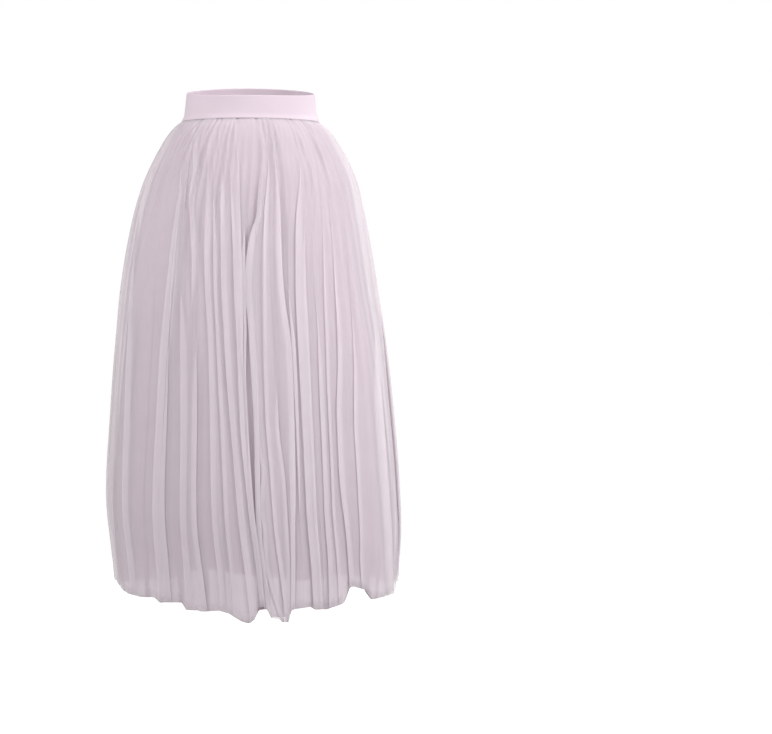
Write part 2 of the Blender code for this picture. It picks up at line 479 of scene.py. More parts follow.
@dataclass(frozen=True)
class Pleat:
    """One pleat: the cloth turns under at its free edge, runs back and comes out again beneath it.

    path gives the free edge's angle at shares of the length. overlap is how wide the tucked cloth is and
    depth how deep the pleat goes, where it is fully open. It opens between the two shares of opens and closes
    between those of closes.
    """

    path: Stations
    lean: Lean
    overlap: float
    depth: float
    opens: tuple[float, float] = (0.02, 0.25)
    closes: tuple[float, float] = (2.0, 3.0)

    # Places across the pleat, in overlaps from its free edge and in depths, for one that leans left
    SECTION = ((-1.10, -0.45), (0.10, -1.0), (0.90, -0.98), (1.14, -0.80), (0.90, -0.62), (0.25, -0.56),
               (-0.08, -0.40), (-0.10, -0.06), (0.22, 0.06), (1.00, 0.04))
    # Half width and height of the low ridge that a closed pleat leaves
    CLOSED = (3.2 * MILLIMETRE, 0.7 * MILLIMETRE)

    def knots(self, share: float, form: BellForm) -> list[tuple[float, float]]:
        """The pleat's section at one share of the length, from left to right.

        Args:
            share: Share of the length.
            form: The bell it hangs on.

        Returns:
            Pairs of an angle and a height out of the bell.
        """
        opened = float(ease((share - self.opens[0]) / (self.opens[1] - self.opens[0])))
        opened *= 1.0 - float(ease((share - self.closes[0]) / (self.closes[1] - self.closes[0])))
        # Tight gathers near the waist leave a pleat less room
        room = 0.30 + 0.70 * float(ease(share / 0.26))
        edge = float(smooth_curve(self.path, share))
        per_degree = float(form.metres_per_degree(max(share, 0.0), edge))
        section = []
        for number, (across, down) in enumerate(self.SECTION):
            place = 2.0 * number / (len(self.SECTION) - 1) - 1.0
            wide = self.CLOSED[0] * place * (1.0 - opened) + self.overlap * across * opened
            ridge = self.CLOSED[1] * math.cos(0.5 * math.pi * place)
            high = ridge * (1.0 - opened) + self.depth * down * opened * room
            section.append((edge + self.lean.value * wide / per_degree, high))
        return section if self.lean is Lean.LEFT else section[::-1]


@dataclass
class PleatedPanel:
    """A width of cloth from one side seam to the other, as pleats with soft crowns between them."""

    form: BellForm
    pleats: list[Pleat]
    side: float
    columns: int
    rows: int
    seed: int
    crown_spacing: float = 4.5
    crown_height: float = 1.4 * MILLIMETRE
    # Shares of the length where the section is measured, to give every stretch of it enough columns
    references: tuple[float, ...] = (0.04, 0.30, 0.72, 1.0)

    def shares(self, tuck: float) -> np.ndarray:
        """Shares of the length of the rows, closer near the waist; the first is tucked under the band."""
        t = np.linspace(0.0, 1.0, self.rows - 1)
        return np.concatenate(([-tuck], 0.42 * t + 0.58 * t * t))

    def stretches(self, share: float) -> list[list[tuple[float, float]]]:
        """The side seams' and the pleats' own places at one share of the length."""
        middle = [pleat.knots(share, self.form) for pleat in self.pleats]
        return [[(self.side, 0.0)]] + middle + [[(self.side + 180.0, 0.0)]]

    def knots(self, share: float) -> np.ndarray:
        """All places of the panel's section at one share, side seam to side seam."""
        rng = np.random.default_rng(self.seed)
        ends = self.stretches(share)
        widest = [self.stretches(reference) for reference in self.references]
        section = list(ends[0])
        for place, (left, right) in enumerate(zip(ends, ends[1:])):
            gap = max(stretches[place + 1][0][0] - stretches[place][-1][0] for stretches in widest)
            crowns = max(1, round(gap / self.crown_spacing))
            for number in range(crowns):
                share_across = (number + 1.0 + 0.3 * (rng.random() - 0.5)) / (crowns + 1.0)
                height = self.crown_height * (rng.random() - 0.25) * float(ease(share / 0.2))
                level = left[-1][1] + share_across * (right[0][1] - left[-1][1])
                bow = 0.35 * abs(right[0][1] - left[-1][1]) * math.sin(math.pi * share_across)
                angle = left[-1][0] + share_across * (right[0][0] - left[-1][0])
                section.append((angle, level + height + bow))
            section.extend(right)
        return np.array(section)

    @staticmethod
    def spline_basis(t: float) -> tuple[float, float, float, float]:
        """Weights of the four knots round a place t between the middle two, for a smooth cubic curve."""
        return ((1.0 - t) ** 3 / 6.0, (3.0 * t ** 3 - 6.0 * t * t + 4.0) / 6.0,
                (-3.0 * t ** 3 + 3.0 * t * t + 3.0 * t + 1.0) / 6.0, t ** 3 / 6.0)

    def weights(self) -> np.ndarray:
        """Weights that turn the panel's knots into its columns, more of them where the section is longer."""
        lengths = np.zeros(len(self.knots(0.0)) - 1)
        for share in self.references:
            knots = self.knots(share)
            per_degree = float(self.form.metres_per_degree(max(share, 0.2), 0.0))
            lengths = np.maximum(lengths, np.hypot(np.diff(knots[:, 0]) * per_degree, np.diff(knots[:, 1])))
        spans = len(lengths)
        shares = lengths / lengths.sum() * (self.columns - 1 - 2 * spans)
        counts = 2 + np.floor(shares).astype(int)
        shortfall = self.columns - 1 - counts.sum()
        counts[np.argsort(shares - np.floor(shares))[::-1][:shortfall]] += 1
        stretches = [span + np.arange(count) / count for span, count in enumerate(counts)]
        places = np.concatenate(stretches + [[float(spans)]])
        table = np.zeros((len(places), spans + 1))
        for row, place in enumerate(places):
            span = min(int(place), spans - 1)
            for offset, weight in zip((-1, 0, 1, 2), self.spline_basis(place - span)):
                knot = span + offset
                if knot < 0:
                    table[row, 0] += 2.0 * weight
                    table[row, 1] -= weight
                elif knot > spans:
                    table[row, spans] += 2.0 * weight
                    table[row, spans - 1] -= weight
                else:
                    table[row, knot] += weight
        return table

    def section(self, shares: np.ndarray) -> tuple[np.ndarray, np.ndarray]:
        """Angle and height out of the bell for every row and column.

        Args:
            shares: The rows' shares of the length.

        Returns:
            Two arrays of rows by columns.
        """
        table = self.weights()
        stack = np.stack([table @ self.knots(share) for share in np.maximum(shares, 0.0)])
        return stack[..., 0], stack[..., 1]


@dataclass(frozen=True)
class Ripples:
    """Fine upright waves in gathered cloth: close puckers at the seam that merge into softer ones below."""

    seed: int
    puckers: float
    pucker_height: float
    flutes: float
    flute_height: float

    def height(self, across: np.ndarray, shares: np.ndarray) -> np.ndarray:
        """Height of the waves.

        Args:
            across: How far each point is from one side seam to the other, from 0 to 1, rows by columns.
            shares: Share of the length of each row.

        Returns:
            Heights, rows by columns.
        """
        rng = np.random.default_rng(self.seed)
        down = shares[:, None]
        full_turn = 2.0 * math.pi
        total = np.zeros_like(across)
        near_seam = ease(down / 0.006 + 0.4) * (1.0 - ease((down - 0.03) / 0.30))
        upper_third = ease((down - 0.01) / 0.06) * (1.0 - ease((down - 0.2) / 0.5))
        # Waves across the width, how many of them are laid over each other, and their height down the length
        kinds = (
            (self.puckers, 7, self.pucker_height * near_seam),
            (0.6 * self.puckers, 5, self.pucker_height * upper_third),
            (self.flutes, 7, self.flute_height * ease((down - 0.03) / 0.25)),
            (2.3 * self.flutes, 6, 0.30 * self.flute_height * ease((down - 0.05) / 0.20)),
        )
        for count, waves, strength in kinds:
            layer = np.zeros_like(total)
            for _ in range(waves):
                rate = count * rng.uniform(0.72, 1.28)
                swing = rng.uniform(0.3, 1.4)
                drift = swing * np.sin(full_turn * (down * rng.uniform(0.4, 1.5) + rng.random()))
                size = rng.uniform(0.5, 1.0)
                layer += size * np.sin(full_turn * (rate * across + rng.random()) + drift)
            total += strength * layer / math.sqrt(waves)
        seams = ease(across / 0.02) * ease((1.0 - across) / 0.02)
        return total * seams


# --------------------------------------------------------------------------- pieces


@dataclass(frozen=True)
class Pinches:
    """Small deep tucks just under the waist seam, where the gathering thread pulls the cloth in."""

    angles: tuple[float, ...]
    half_width: float = 0.8
    depth: float = 5.0 * MILLIMETRE
    centre_share: float = 0.006
    length_share: float = 0.011

    def height(self, angles: np.ndarray, shares: np.ndarray) -> np.ndarray:
        """Height of the tucks, all inwards.

        Args:
            angles: Angle of each point, rows by columns.
            shares: Share of the length of each row.

        Returns:
            Heights, rows by columns.
        """
        total = np.zeros_like(angles)
        for number, angle in enumerate(self.angles):
            size = 0.7 + 0.3 * math.sin(2.3 * number)
            across = (angles - angle) / self.half_width
            down = (shares[:, None] - self.centre_share) / (self.length_share * size)
            total -= self.depth * size * np.exp(-across * across - down * down)
        return total


@dataclass
class TulleWidth:
    """One width of tulle, gathered into the waistband: its pleats, ripples, hem and inset below the bell."""

    name: str
    panel: PleatedPanel
    ripples: Ripples
    inset: Stations
    hem: Stations
    cut: tuple[float, float]
    pinches: Pinches = Pinches(())
    wall: float = 0.5 * MILLIMETRE
    tuck: float = 4.0 * MILLIMETRE
    hem_from: float = 0.45
    widest: float = 0.75
    seam_inset: float = 0.6 * MILLIMETRE
    # How fast the waistband narrows above the seam, so that the tucked edge stays inside it
    band_flare: float = 0.6

    def build(self, finish: bpy.types.Material) -> bpy.types.Object:
        """Make the gathered width as a thin closed wall.

        Args:
            finish: Its material.

        Returns:
            The finished piece.
        """
        form = self.panel.form
        shares = self.panel.shares(self.tuck / form.length)
        angles, heights = self.panel.section(shares)
        down = shares[:, None]
        ripples = self.ripples.height((angles - self.panel.side) / 180.0, shares)
        near_seam = 1.0 - ease(down / 0.012)
        ripples -= near_seam * np.maximum(ripples, 0.0)
        in_band = self.seam_inset * (1.0 - ease(down / 0.010))
        in_band += self.band_flare * np.maximum(-down, 0.0) * form.length
        gathers = (ripples + self.pinches.height(angles, shares)) * ease(1.0 + down * form.length / self.tuck)
        outward = heights + gathers - smooth_curve(self.inset, down) - in_band
        hem_drop = np.interp(angles[-1], *np.array(self.hem).T)
        drop = ease((down - self.hem_from) / (1.0 - self.hem_from)) * hem_drop[None, :]
        points = form.place(np.broadcast_to(down, angles.shape), angles, outward, drop)
        return hang_width(self.name, points, shares * form.length, self.widest, self.wall, finish)


@dataclass(frozen=True)
class SoftLight:
    """A square studio light: where it stands, what it faces, its side, its power and how wide its beam is."""

    name: str
    place: tuple[float, float, float]
    target: tuple[float, float, float]
    size: float
    watts: float
    beam: float

    def build(self) -> None:
        """Put the light in the scene."""
        data = bpy.data.lights.new(self.name, "AREA")
        data.shape = "SQUARE"
        data.size = self.size
        data.energy = self.watts
        data.spread = math.radians(self.beam)
        light = bpy.data.objects.new(self.name, data)
        light.location = self.place
        light.rotation_euler = (Vector(self.target) - light.location).to_track_quat("-Z", "Y").to_euler()
        bpy.context.scene.collection.objects.link(light)


@dataclass
class SkirtStudio:
    """Plain white floor and surroundings, soft light all round, three soft lights from above, and the camera.

    Angles are in degrees, and the lens and its sensor in millimetres.
    """

    floor_height: float = -1.32
    floor_size: float = 9.0
    floor_glow: float = 0.6
    ambient: float = 0.635
    camera_distance: float = 4.0
    camera_height: float = -0.3994
    camera_turn: float = 3.6232
    camera_dip: float = 1.1286
    lens: float = 99.4197
    sensor: float = 36.0
    lights: tuple[SoftLight, ...] = (
        SoftLight("key", (2.5, -0.9, 1.5), (0.20, 0.0, -0.22), 1.6, 8.2, 46.0),
        SoftLight("rim", (2.7, 1.4, 0.8), (0.16, 0.0, -0.20), 1.2, 1.4, 36.0),
        SoftLight("fill", (-1.8, -2.0, 1.25), (-0.10, 0.0, -0.16), 1.6, 5.0, 46.0),
    )

    def build(self) -> None:
        """Make the floor, the lights and the camera."""
        scene = bpy.context.scene
        bpy.ops.mesh.primitive_plane_add(size=self.floor_size, location=(0.0, 0.0, self.floor_height))
        floor = bpy.context.object
        floor.name = "studio_floor"
        floor.data.materials.append(self.floor_material())
        floor.visible_diffuse = False
        scene.world = self.surroundings()
        for light in self.lights:
            light.build()
        self.add_camera()
        scene.view_settings.view_transform = "Standard"
        scene.cycles.transparent_max_bounces = 48

    def floor_material(self) -> bpy.types.Material:
        """White paper that is lit evenly from below, as on a light table."""
        material = PlainFinish("white_paper", "#E8E8E8", 0.9).material()
        shader = material.node_tree.nodes["Principled BSDF"]
        shader.inputs["Emission Color"].default_value = (1.0, 1.0, 1.0, 1.0)
        shader.inputs["Emission Strength"].default_value = self.floor_glow
        return material

    def surroundings(self) -> bpy.types.World:
        """White surroundings that light the skirt less strongly than they look."""
        world = bpy.data.worlds.new("studio_light")
        world.use_nodes = True
        tree = world.node_tree
        white = tree.nodes["Background"]
        white.inputs["Color"].default_value = (1.0, 1.0, 1.0, 1.0)
        seen = add_node(tree, "ShaderNodeLightPath")
        strength = add_node(tree, "ShaderNodeMapRange", {"To Min": self.ambient, "To Max": 1.0},
                            {"Value": seen.outputs["Is Camera Ray"]})
        tree.links.new(strength.outputs[0], white.inputs["Strength"])
        return world

    def add_camera(self) -> None:
        """Add the camera in front, turned a little so that the skirt stands left of the middle."""
        data = bpy.data.cameras.new("camera")
        data.sensor_width = self.sensor
        data.lens = self.lens
        camera = bpy.data.objects.new("camera", data)
        camera.location = (0.0, -self.camera_distance, self.camera_height)
        camera.rotation_euler = (math.radians(90.0 - self.camera_dip), 0.0, -math.radians(self.camera_turn))
        bpy.context.scene.collection.objects.link(camera)
        bpy.context.scene.camera = camera


def front_pleats() -> list[Pleat]:
    """The front's pleats, left to right, given one by one along their free edges."""
    left, right = Lean.LEFT, Lean.RIGHT
    mm = MILLIMETRE
    return [
        Pleat(((0.0, -72.0), (0.2, -79.0), (0.6, -77.0), (1.0, -76.0)), left, 12 * mm, 3 * mm, (0.1, 0.4)),
        Pleat(((0.0, -57.0), (0.15, -65.0), (0.3, -66.0), (0.48, -64.0), (0.69, -61.1), (1.0, -59.5)),
              left, 15 * mm, 3.5 * mm, (0.2, 0.5)),
        Pleat(((0.0, -47.5), (0.04, -45.8), (0.17, -38.6), (0.32, -38.4), (0.50, -40.4), (1.0, -41.7)),
              left, 17 * mm, 4.5 * mm, (0.05, 0.34)),
        Pleat(((0.0, -45.0), (0.17, -36.4), (0.35, -35.8), (0.6, -35.4), (1.0, -35.2)), right, 8 * mm,
              2.2 * mm, (0.35, 0.6)),
        Pleat(((0.0, -43.5), (0.17, -34.3), (0.30, -32.4), (0.48, -30.0), (0.72, -28.6), (1.0, -28.4)),
              left, 11 * mm, 3 * mm, (0.30, 0.48)),
        Pleat(((0.0, -40.0), (0.07, -36.6), (0.11, -32.6), (0.17, -31.5), (0.21, -29.7), (0.30, -26.2),
              (0.5, -25.0), (1.0, -24.4)), left, 9 * mm, 4.5 * mm, (0.0, 0.10), (0.30, 0.42)),
        Pleat(((0.0, -36.0), (0.17, -27.0), (0.3, -23.6), (0.5, -22.3), (0.84, -21.6), (1.0, -19.6)),
              right, 9 * mm, 3 * mm, (0.42, 0.58)),
        Pleat(((0.0, -31.0), (0.15, -22.6), (0.30, -20.1), (0.48, -17.4), (0.84, -15.4), (1.0, -13.9)),
              left, 8 * mm, 3 * mm, (0.02, 0.22)),
        Pleat(((0.0, -27.5), (0.15, -18.8), (0.38, -15.0), (0.50, -13.8), (0.72, -11.5), (1.0, -9.0)),
              left, 6 * mm, 2.5 * mm, (0.10, 0.30)),
        Pleat(((0.0, -24.0), (0.15, -15.0), (0.38, -11.6), (0.50, -10.4), (0.72, -6.8), (1.0, -2.6)), left,
              9 * mm, 3.5 * mm, (0.04, 0.24)),
        Pleat(((0.0, -18.0), (0.15, -10.0), (0.30, -7.0), (0.46, -5.8), (0.64, -4.6), (0.76, -2.6),
              (1.0, 1.4)), left, 7 * mm, 3 * mm, (0.06, 0.28)),
        Pleat(((0.0, -13.0), (0.11, -6.0), (0.26, -3.7), (0.38, -3.0), (0.47, -3.3), (0.6, -2.6),
              (1.0, 2.4)), right, 7 * mm, 3.5 * mm, (0.02, 0.20), (0.42, 0.56)),
        Pleat(((0.0, 10.0), (0.10, 5.5), (0.15, 4.2), (0.205, 3.4), (0.235, 1.0), (0.29, -1.2),
              (0.34, -1.9), (0.42, -0.9), (0.49, -0.4), (0.64, 0.6), (0.84, 1.0), (1.0, 3.4)), left,
              11 * mm, 9 * mm, (0.03, 0.25)),
        Pleat(((0.0, 12.0), (0.1, 7.3), (0.24, 3.6), (0.4, 2.6), (0.55, 2.2), (0.66, 1.9), (0.714, 3.3),
              (0.78, 2.2), (0.82, 3.4), (0.88, 3.2), (0.94, 5.5), (1.0, 9.0)), left, 7 * mm, 3 * mm,
              (0.60, 0.70)),
        Pleat(((0.0, 14.5), (0.1, 9.3), (0.27, 6.2), (0.38, 5.6), (0.50, 4.9), (0.60, 5.0), (0.7, 6.2),
              (0.85, 8.0), (1.0, 11.0)), left, 6 * mm, 2.5 * mm, (0.02, 0.20)),
        Pleat(((0.0, 17.0), (0.1, 12.0), (0.3, 9.8), (0.62, 10.1), (0.74, 12.2), (0.84, 12.8),
              (1.0, 12.9)), right, 5 * mm, 3 * mm, (0.5, 0.64)),
        Pleat(((0.0, 20.0), (0.09, 13.8), (0.19, 15.0), (0.28, 14.6), (0.38, 15.3), (0.48, 16.6),
              (0.76, 16.0), (0.88, 14.9), (1.0, 14.4)), right, 9 * mm, 4.5 * mm, (0.04, 0.22)),
        Pleat(((0.0, 33.0), (0.13, 26.1), (0.25, 21.9), (0.50, 19.6), (0.68, 19.9), (0.84, 20.5),
              (1.0, 22.4)), left, 13 * mm, 4.5 * mm, (0.04, 0.28)),
        Pleat(((0.0, 37.0), (0.15, 29.8), (0.3, 25.8), (0.6, 23.9), (0.8, 24.2), (1.0, 26.0)), right,
              6 * mm, 2.2 * mm, (0.12, 0.40)),
        Pleat(((0.0, 41.0), (0.15, 33.5), (0.3, 29.8), (0.62, 27.6), (0.78, 27.6), (1.0, 29.1)), left,
              9 * mm, 2.5 * mm, (0.3, 0.6)),
        Pleat(((0.0, 46.0), (0.15, 38.5), (0.3, 35.0), (0.6, 31.2), (0.8, 31.0), (1.0, 33.4)), left,
              6 * mm, 2.2 * mm, (0.10, 0.40)),
        Pleat(((0.0, 52.0), (0.06, 46.8), (0.17, 43.1), (0.29, 41.0), (0.50, 37.7), (0.62, 35.0),
              (0.74, 34.6), (0.86, 36.1), (1.0, 39.2)), left, 11 * mm, 3.5 * mm, (0.05, 0.6)),
        Pleat(((0.0, 60.0), (0.15, 54.0), (0.3, 51.0), (0.5, 46.5), (0.68, 43.6), (0.92, 43.6),
              (1.0, 45.4)), left, 9 * mm, 2.5 * mm, (0.3, 0.6)),
        Pleat(((0.0, 68.0), (0.2, 66.0), (0.35, 66.5), (0.48, 67.0), (0.73, 66.0), (0.9, 68.0),
              (1.0, 73.0)), right, 17 * mm, 12 * mm, (0.38, 0.62)),
        Pleat(((0.0, 80.0), (0.35, 83.0), (0.6, 84.0), (1.0, 86.0)), left, 8 * mm, 9 * mm, (0.35, 0.60)),
    ]


def scattered_pleats(side: float, count: int, overlap: float, depth: float, seed: int) -> list[Pleat]:
    """Pleats in no fixed order: evenly spread, then moved, leaned and sized by chance.

    Args:
        side: Angle of the side seam where the width starts.
        count: Number of pleats.
        overlap: Greatest tucked width.
        depth: Greatest depth.
        seed: Seed of the chance moves.

    Returns:
        The pleats in order round the body.
    """
    rng = np.random.default_rng(seed)
    step = 180.0 / (count + 0.6)
    pleats = []
    for number in range(count):
        middle = side + step * (number + 0.8)
        moves = rng.uniform(-0.26, 0.26, 4) * step
        path = tuple((share, middle + float(move)) for share, move in zip((0.0, 0.28, 0.62, 1.0), moves))
        lean = Lean.LEFT if rng.random() < 0.5 else Lean.RIGHT
        size = rng.uniform(0.45, 1.0)
        start = rng.uniform(0.0, 0.30)
        pleats.append(Pleat(path, lean, overlap * size, depth * rng.uniform(0.6, 1.0) * (0.4 + 0.6 * size),
                            (start, start + rng.uniform(0.15, 0.35))))
    return pleats


@dataclass
class Lining:
    """The underskirt's front or back: a slim bell with soft flutes and a turned-up hem."""

    name: str
    form: BellForm
    side: float
    seed: int
    hem: Stations
    inset: Stations = ((0.0, 0.0052), (0.012, 0.013), (0.03, 0.024), (0.06, 0.030), (0.36, 0.034),
                       (1.0, 0.034))
    length_share: float = 0.93
    flutes: int = 6
    flute_depth: float = 0.0045
    wall: float = 0.8 * MILLIMETRE
    tuck: float = 5.5 * MILLIMETRE
    turn_up: float = 15.0 * MILLIMETRE
    hem_from: float = 0.5
    widest: float = 0.8
    wave_count: int = 5
    band_room: float = 2.0 * MILLIMETRE
    columns: int = 190
    rows: int = 70

    def surface(self, shares: np.ndarray, angles: np.ndarray) -> np.ndarray:
        """Points of the lining's outer face.

        Args:
            shares: Shares of the skirt's length, one for each row.
            angles: Angles, one for each column.

        Returns:
            Rows by columns of points.
        """
        rng = np.random.default_rng(self.seed)
        down, across = shares[:, None], (angles[None, :] - self.side) / 180.0
        waves = np.zeros((len(shares), len(angles)))
        for _ in range(self.wave_count):
            rate = self.flutes * rng.uniform(0.6, 1.4)
            drift = rng.uniform(0.2, 0.8) * np.sin(2.0 * math.pi * (0.8 * down + rng.random()))
            size = rng.uniform(0.4, 1.0)
            waves += size * np.sin(2.0 * math.pi * (rate * across + rng.random()) + drift)
        seams = ease(across / 0.04) * ease((1.0 - across) / 0.04)
        waves = waves / math.sqrt(self.wave_count) * self.flute_depth * ease(down / 0.5) * seams
        under_band = self.band_room * (1.0 - ease(down / 0.012))
        hem_drop = np.interp(angles, *np.array(self.hem).T)[None, :]
        drop = hem_drop * ease((down - self.hem_from) / (self.length_share - self.hem_from))
        outward = waves - smooth_curve(self.inset, down) - under_band
        rows, columns = np.broadcast_arrays(down, angles[None, :])
        return self.form.place(rows, columns, outward, drop)

    def build(self, finish: bpy.types.Material) -> bpy.types.Object:
        """Make the panel as a thin closed wall.

        Args:
            finish: Its material.

        Returns:
            The finished piece.
        """
        t = np.linspace(0.0, 1.0, self.rows)
        above = self.tuck / self.form.length
        shares = (self.length_share + above) * (0.35 * t + 0.65 * t * t) - above
        angles = np.linspace(self.side, self.side + 180.0, self.columns)
        points = self.surface(shares, angles)
        return hang_width(self.name, points, shares * self.form.length, self.widest, self.wall, finish)


@dataclass
class Waistband:
    """The waistband: doubled jersey, folded at its top edge, whose lowest strip flares over the gathers."""

    form: BellForm
    wall: float = 2.2 * MILLIMETRE
    top_front: float = 0.021
    top_rise: float = 0.031
    top_rise_power: float = 1.37
    # Half width and half depth at shares of the band's height, from its top edge
    widths: Stations = ((0.0, 0.1190), (0.45, 0.1218), (0.74, 0.1236), (0.79, 0.1240), (1.0, 0.1287))
    depths: Stations = ((0.0, 0.0885), (0.45, 0.0908), (0.74, 0.0926), (0.79, 0.0930), (1.0, 0.0967))
    mean_radius: float = 0.108
    # Shares of the height where the top edge has folded over and where the lower edge starts to roll in
    fold_share: float = 0.03
    rim_share: float = 0.94
    columns: int = 320
    rows: int = 26
    rim_roll: float = 0.7 * MILLIMETRE

    def ring(self, share: float, angles: np.ndarray, outward: float) -> np.ndarray:
        """Points round the band at one share of its height.

        Args:
            share: Share of the height from the top edge.
            angles: The angles of the points.
            outward: How far the points stand out from the band's outer face.

        Returns:
            One point for each angle.
        """
        top = self.top_front + self.top_rise * backness(angles) ** self.top_rise_power
        height = top + share * (self.form.seam_height(angles) - top)
        turn = np.radians(angles)
        wave = 0.35 * MILLIMETRE * np.sin(3.0 * turn + 5.0 * share) * np.sin(7.0 * turn + 0.8)
        wide = float(smooth_curve(self.widths, share)) + outward + wave
        deep = float(smooth_curve(self.depths, share)) + outward + wave
        return np.stack((wide * np.sin(turn), -deep * np.cos(turn), height), axis=-1)

    def build(self, finish: bpy.types.Material) -> bpy.types.Object:
        """Make the band as one closed ring: outer face, folded top edge, inner face and lower edge.

        Args:
            finish: Its material.

        Returns:
            The finished piece.
        """
        angles = np.linspace(0.0, 360.0, self.columns, endpoint=False)
        rim = np.linspace(1.0, self.rim_share, 5)[:-1]
        shares = np.concatenate((rim, np.linspace(self.rim_share, self.fold_share, self.rows)))
        rolls = np.maximum(0.0, (shares - self.rim_share) / (1.0 - self.rim_share)) ** 2
        loop = [(share, -self.rim_roll * roll) for share, roll in zip(shares, rolls)]
        turns = [math.radians(turn) for turn in (30, 60, 90, 120, 150)]
        fold = [(self.fold_share * (1.0 - math.sin(turn)), self.wall / 2.0 * (math.cos(turn) - 1.0))
                for turn in turns]
        loop += fold + [(share, -self.wall) for share in shares[::-1]]
        rings = np.array([self.ring(share, angles, outward) for share, outward in loop])
        down = np.concatenate(([0.0], np.cumsum(np.linalg.norm(np.diff(rings[:, 0], axis=0), axis=1))))
        around = np.radians(angles) * self.mean_radius
        cloth = np.stack(np.broadcast_arrays(around[None, :], down[:, None]), axis=-1)
        rings = np.concatenate((rings, rings[:1]))[::-1]
        cloth = np.concatenate((cloth, cloth[-1:] + (0.0, self.wall)))[::-1]
        mesh = mesh_from_grid("waistband_knit", rings, cloth, closed=True)
        piece = add_object("waistband_knit", mesh, finish)
        weld = piece.modifiers.new("Join", "WELD")
        weld.merge_threshold = 0.01 * MILLIMETRE
        return piece


@dataclass(frozen=True)
class StitchRow:
    """A row of sewn stitches along a path, made by Geometry Nodes and then turned into a plain mesh."""

    name: str
    pitch: float = 3.0 * MILLIMETRE
    length: float = 2.2 * MILLIMETRE
    thread: float = 0.20 * MILLIMETRE

    def build(self, path: np.ndarray, finish: bpy.types.Material) -> bpy.types.Object:
        """Lay the stitches along a path.

        Args:
            path: The points of the path.
            finish: The thread's material.

        Returns:
            The stitches as one mesh.
        """
        curve = bpy.data.curves.new(self.name + "_path", "CURVE")
        curve.dimensions = "3D"
        spline = curve.splines.new("POLY")
        spline.points.add(len(path) - 1)
        spline.points.foreach_set("co", np.column_stack((path, np.ones(len(path)))).reshape(-1))
        guide = bpy.data.objects.new(self.name + "_path", curve)
        bpy.context.scene.collection.objects.link(guide)
        modifier = guide.modifiers.new("Stitches", "NODES")
        modifier.node_group = self.tree(finish)
        sizes = {"Pitch": self.pitch, "Length": self.length, "Thread": self.thread}
        for item in modifier.node_group.interface.items_tree:
            if item.item_type == "SOCKET" and item.in_out == "INPUT" and item.name in sizes:
                modifier[item.identifier] = sizes[item.name]
        depsgraph = bpy.context.evaluated_depsgraph_get()
        mesh = bpy.data.meshes.new_from_object(guide.evaluated_get(depsgraph), depsgraph=depsgraph)
        bpy.data.objects.remove(guide, do_unlink=True)
        mesh.name = self.name
        return add_object(self.name, mesh, finish)

    def tree(self, finish: bpy.types.Material) -> bpy.types.NodeTree:
        """Build the node tree: even points along the path, a short round stitch on each, all made real.

        Args:
            finish: The thread's material.

        Returns:
            The tree, with inputs Pitch, Length and Thread.
        """
        tree = bpy.data.node_groups.new(self.name + "_stitches", "GeometryNodeTree")
        tree.interface.new_socket("Geometry", in_out="INPUT", socket_type="NodeSocketGeometry")
        for label in ("Pitch", "Length", "Thread"):
            tree.interface.new_socket(label, in_out="INPUT", socket_type="NodeSocketFloat")
        tree.interface.new_socket("Geometry", in_out="OUTPUT", socket_type="NodeSocketGeometry")
        given = add_node(tree, "NodeGroupInput")
        even = add_node(tree, "GeometryNodeCurveToPoints", {"mode": "LENGTH"},
                        {"Curve": given.outputs["Geometry"], "Length": given.outputs["Pitch"]})
        stitch = add_node(tree, "GeometryNodeMeshCylinder", {"Vertices": 6},
                          {"Radius": given.outputs["Thread"], "Depth": given.outputs["Length"]})
        turned = add_node(tree, "FunctionNodeAlignRotationToVector", {"axis": "Z"},
                          {"Vector": even.outputs["Tangent"]})
        placed = add_node(tree, "GeometryNodeInstanceOnPoints", None,
                          {"Points": even.outputs["Points"], "Instance": stitch.outputs["Mesh"],
                           "Rotation": turned.outputs["Rotation"]})
        real = add_node(tree, "GeometryNodeRealizeInstances", None, {"Geometry": placed.outputs[0]})
        dressed = add_node(tree, "GeometryNodeSetMaterial", {"Material": finish},
                           {"Geometry": real.outputs[0]})
        add_node(tree, "NodeGroupOutput", None, {0: dressed.outputs[0]})
        return tree


